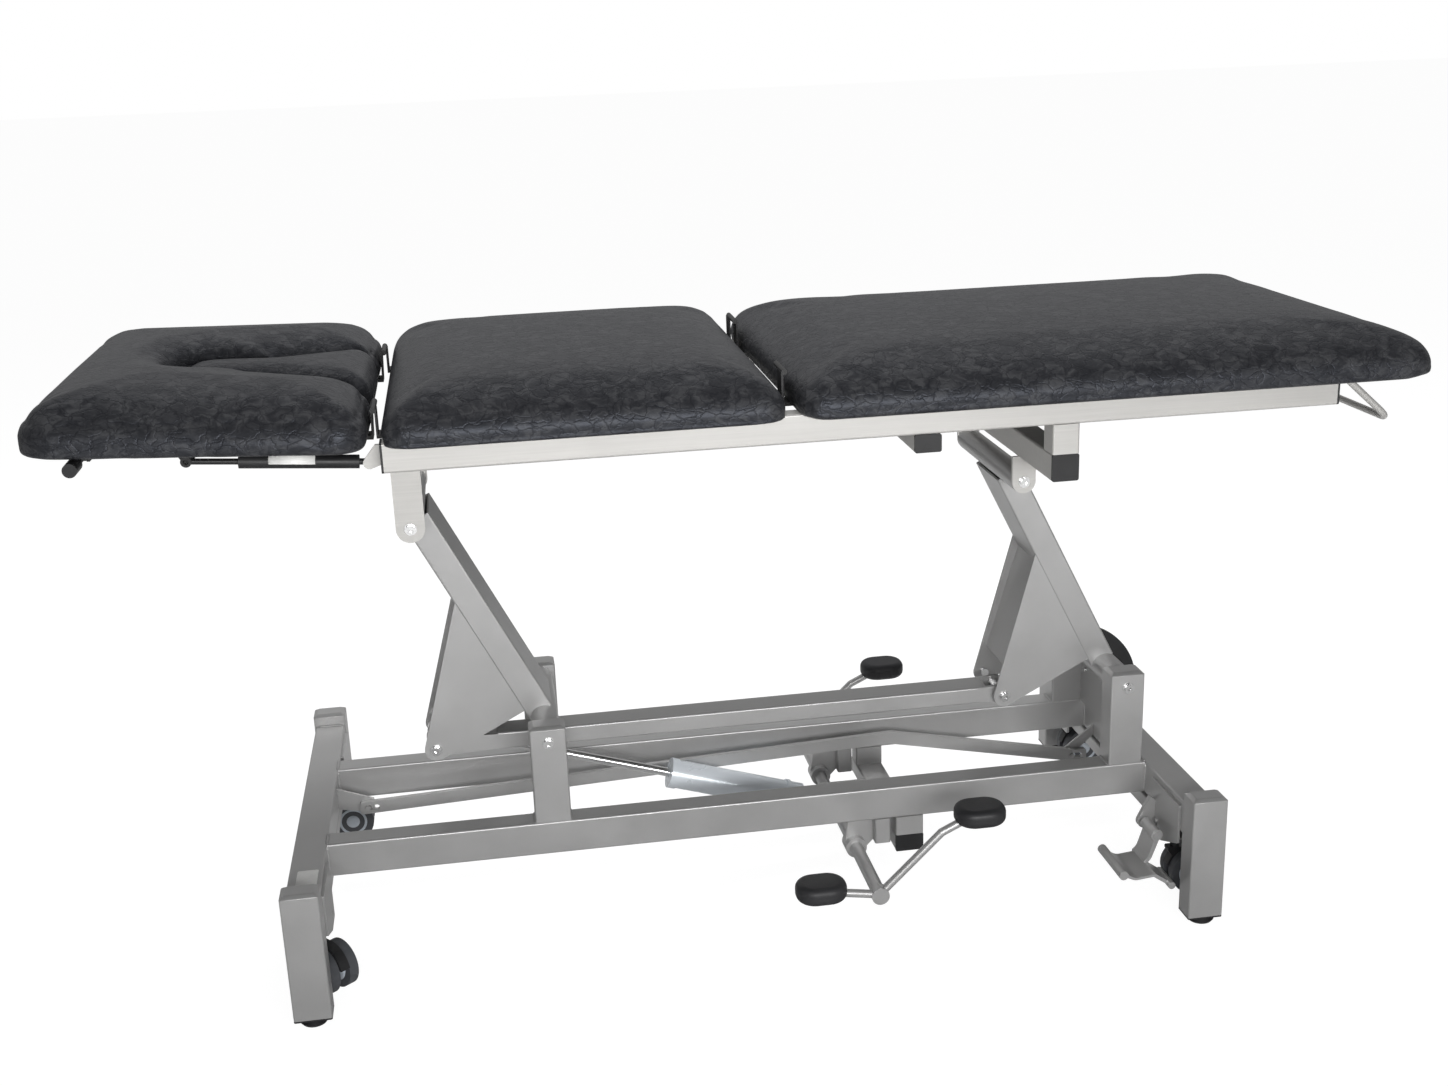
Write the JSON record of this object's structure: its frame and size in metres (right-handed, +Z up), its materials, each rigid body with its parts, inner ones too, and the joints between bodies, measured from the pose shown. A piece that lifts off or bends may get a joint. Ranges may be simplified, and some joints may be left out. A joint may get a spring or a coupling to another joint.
{
  "type": "treatment table",
  "caption": "Hydraulic treatment table: padded head, middle and long sections on a steel frame that parallel cranks lift from a tube base with pump pedals and drop castors.",
  "frame": {"origin": "floor level, under the middle of the table's length and width", "axes": "+X along the table away from the head end, +Y across it to the rear, +Z up"},
  "size_m": [1.8803, 0.6698, 0.8786],
  "materials": {
    "frame_silver": "satin",
    "upper_steel": "satin",
    "black_plastic": "satin",
    "chrome": "polished",
    "board": "matte",
    "vinyl": "grained satin",
    "wheel_rubber": "satin",
    "jack_silver": "satin"
  },
  "bodies": {
    "base": {"crossbeams": "frame_silver", "legs": "frame_silver", "feet": "black_plastic", "base_rails": "frame_silver", "pivot_posts": "frame_silver", "pivot_bolts": "chrome", "pump_hangers": "frame_silver", "pump_cross_tube": "frame_silver", "pump_tube_caps": "black_plastic", "pump_block": "frame_silver", "castor_guides": "frame_silver", "tread_pivot": "frame_silver", "end_plate": "frame_silver", "pivot_guard": "black_plastic"},
    "left_crank": {"crank_arm_left": "frame_silver", "horn_shaft_left": "chrome"},
    "right_crank": {"crank_arm_right": "frame_silver", "horn_shaft_right": "chrome"},
    "tie": {"tie_bar": "frame_silver"},
    "jack": {"jack_cylinder": "jack_silver"},
    "jack_ram": {"jack_rod": "chrome"},
    "upper_frame": {"top_rails": "upper_steel", "upper_cross_tubes": "upper_steel", "drop_frame": "upper_steel", "upper_tube_caps": "black_plastic", "crank_brackets": "upper_steel", "bracket_bolts": "chrome", "hinge_leaves": "upper_steel", "gas_spring_lugs": "upper_steel", "middle_board": "board", "middle_cushion": "vinyl"},
    "head": {"head_board": "board", "head_cushion": "vinyl", "head_subframe": "upper_steel"},
    "head_insert": {"head_plug": "vinyl"},
    "head_lever": {"head_release_lever": "black_plastic"},
    "head_gas_tube": {"head_spring_tube": "black_plastic"},
    "head_gas_rod": {"head_spring_rod": "chrome"},
    "long": {"long_board": "board", "long_cushion": "vinyl", "long_subframe": "upper_steel"},
    "long_bail": {"release_bail": "upper_steel"},
    "long_gas_tube": {"long_spring_tube": "black_plastic"},
    "long_gas_rod": {"long_spring_rod": "chrome"},
    "pedals": {"pedal_shaft": "frame_silver", "pedal_levers": "frame_silver", "pedal_pads": "black_plastic"},
    "tread": {"castor_tread": "frame_silver"},
    "castor_link": {"castor_link_bar": "frame_silver"},
    "left_carrier": {"castor_carrier_left": "frame_silver"},
    "right_carrier": {"castor_carrier_right": "frame_silver", "castor_hood_front_right": "black_plastic", "castor_hood_rear_right": "black_plastic"},
    "castor_front_left": {"castor_hood_front_left": "black_plastic"},
    "castor_rear_left": {"castor_hood_rear_left": "black_plastic"},
    "wheels_front_left": {"castor_wheels_front_left": "wheel_rubber"},
    "wheels_rear_left": {"castor_wheels_rear_left": "wheel_rubber"},
    "wheels_front_right": {"castor_wheels_front_right": "wheel_rubber"},
    "wheels_rear_right": {"castor_wheels_rear_right": "wheel_rubber"}
  },
  "joints": [
    {"name": "lift", "type": "hinge", "parent": "base", "child": "left_crank", "pos_m": [-0.3066, 0, 0.3064], "axis": [0, -1, 0], "range_deg": [0, 68]},
    {"name": "right_crank_pivot", "type": "hinge", "parent": "base", "child": "right_crank", "pos_m": [0.5704, 0, 0.3064], "axis": [0, -1, 0], "range_deg": [0, 68.07]},
    {"name": "upper_frame_pivot", "type": "hinge", "parent": "left_crank", "child": "upper_frame", "pos_m": [-0.47317, 0, 0.64048], "axis": [0, -1, 0], "range_deg": [-68.07, 0]},
    {"name": "tie_pivot", "type": "hinge", "parent": "left_crank", "child": "tie", "pos_m": [-0.4696, 0, 0.27139], "axis": [0, -1, 0], "range_deg": [-68.07, 0]},
    {"name": "jack_pivot", "type": "hinge", "parent": "base", "child": "jack", "pos_m": [0.113, 0.027, 0.088], "axis": [0, -1, 0], "range_deg": [0, 12.4]},
    {"name": "jack_stroke", "type": "slide", "parent": "jack", "child": "jack_ram", "axis": [-0.9539, 0, 0.3003], "range_m": [-0.1477, 0]},
    {"name": "head_tilt", "type": "hinge", "parent": "upper_frame", "child": "head", "pos_m": [-0.503, 0, 0.83], "axis": [0, 1, 0], "range_deg": [-15, 30]},
    {"name": "head_gas_pivot", "type": "hinge", "parent": "upper_frame", "child": "head_gas_tube", "pos_m": [-0.512, -0.245, 0.766], "axis": [0, 1, 0], "range_deg": [-14.66, 29.32]},
    {"name": "head_gas_stroke", "type": "slide", "parent": "head_gas_tube", "child": "head_gas_rod", "axis": [-0.9972, 0, 0.0744], "range_m": [-0.01666, 0.03332]},
    {"name": "head_insert_lift", "type": "slide", "parent": "head", "child": "head_insert", "axis": [0.0401, 0, 0.9992], "range_m": [0, 0.12]},
    {"name": "head_lever_press", "type": "hinge", "parent": "head", "child": "head_lever", "pos_m": [-0.86971, -0.222, 0.79469], "axis": [0.9992, 0, -0.0401], "range_deg": [0, 10], "stiffness_Nm_per_rad": 1.2, "springref_deg": -5.73},
    {"name": "long_tilt", "type": "hinge", "parent": "upper_frame", "child": "long", "pos_m": [0.0375, 0, 0.845], "axis": [0, -1, 0], "range_deg": [0, 55]},
    {"name": "long_gas_pivot", "type": "hinge", "parent": "upper_frame", "child": "long_gas_tube", "pos_m": [0.052, -0.16, 0.75], "axis": [0, -1, 0], "range_deg": [0, 49.05]},
    {"name": "long_gas_stroke", "type": "slide", "parent": "long_gas_tube", "child": "long_gas_rod", "axis": [0.9926, 0, 0.1217], "range_m": [0, 0.082]},
    {"name": "bail_pull", "type": "hinge", "parent": "long", "child": "long_bail", "pos_m": [0.843, 0, 0.788], "axis": [0, -1, 0], "range_deg": [0, 12], "stiffness_Nm_per_rad": 4, "springref_deg": -11.46},
    {"name": "pedal_rock", "type": "hinge", "parent": "base", "child": "pedals", "pos_m": [0.1476, 0, 0.084], "axis": [0, 1, 0], "range_deg": [-12, 12], "stiffness_Nm_per_rad": 40},
    {"name": "tread_press", "type": "hinge", "parent": "base", "child": "tread", "pos_m": [0.583, 0, 0.108], "axis": [0, -1, 0], "range_deg": [0, 14]},
    {"name": "link_slide", "type": "slide", "parent": "base", "child": "castor_link", "axis": [-1, 0, 0], "range_m": [0, 0.01201]},
    {"name": "left_carrier_drop", "type": "slide", "parent": "base", "child": "left_carrier", "axis": [0, 0, -1], "range_m": [0, 0.00751]},
    {"name": "right_carrier_drop", "type": "slide", "parent": "base", "child": "right_carrier", "axis": [0, 0, -1], "range_m": [0, 0.00751]},
    {"name": "castor_front_left_swivel", "type": "hinge", "parent": "left_carrier", "child": "castor_front_left", "pos_m": [-0.6495, -0.232, 0.042], "axis": [0, 0, 1], "continuous": true},
    {"name": "wheels_front_left_spin", "type": "hinge", "parent": "castor_front_left", "child": "wheels_front_left", "pos_m": [-0.63536, -0.24885, 0.042], "axis": [0.766, 0.6428, 0], "continuous": true},
    {"name": "wheels_front_right_spin", "type": "hinge", "parent": "right_carrier", "child": "wheels_front_right", "pos_m": [0.6415, -0.232, 0.042], "axis": [0, 1, 0], "continuous": true},
    {"name": "castor_rear_left_swivel", "type": "hinge", "parent": "left_carrier", "child": "castor_rear_left", "pos_m": [-0.6495, 0.232, 0.042], "axis": [0, 0, 1], "continuous": true},
    {"name": "wheels_rear_left_spin", "type": "hinge", "parent": "castor_rear_left", "child": "wheels_rear_left", "pos_m": [-0.6275, 0.232, 0.042], "axis": [0, 1, 0], "continuous": true},
    {"name": "wheels_rear_right_spin", "type": "hinge", "parent": "right_carrier", "child": "wheels_rear_right", "pos_m": [0.6415, 0.232, 0.042], "axis": [0, 1, 0], "continuous": true}
  ],
  "couplings": [
    {"joint": "right_crank_pivot", "follows": "lift", "ratio": 1},
    {"joint": "upper_frame_pivot", "follows": "lift", "ratio": -1},
    {"joint": "tie_pivot", "follows": "lift", "ratio": -1},
    {"joint": "jack_pivot", "follows": "lift", "ratio": 0.18218},
    {"joint": "jack_stroke", "follows": "lift", "m_per_rad": -0.12433},
    {"joint": "head_gas_pivot", "follows": "head_tilt", "ratio": 0.9762},
    {"joint": "head_gas_stroke", "follows": "head_tilt", "m_per_rad": 0.063581},
    {"joint": "long_gas_pivot", "follows": "long_tilt", "ratio": 0.89087},
    {"joint": "long_gas_stroke", "follows": "long_tilt", "m_per_rad": 0.08534},
    {"joint": "link_slide", "follows": "tread_press", "m_per_rad": 0.049111},
    {"joint": "left_carrier_drop", "follows": "tread_press", "m_per_rad": 0.030694},
    {"joint": "right_carrier_drop", "follows": "tread_press", "m_per_rad": 0.030694}
  ]
}
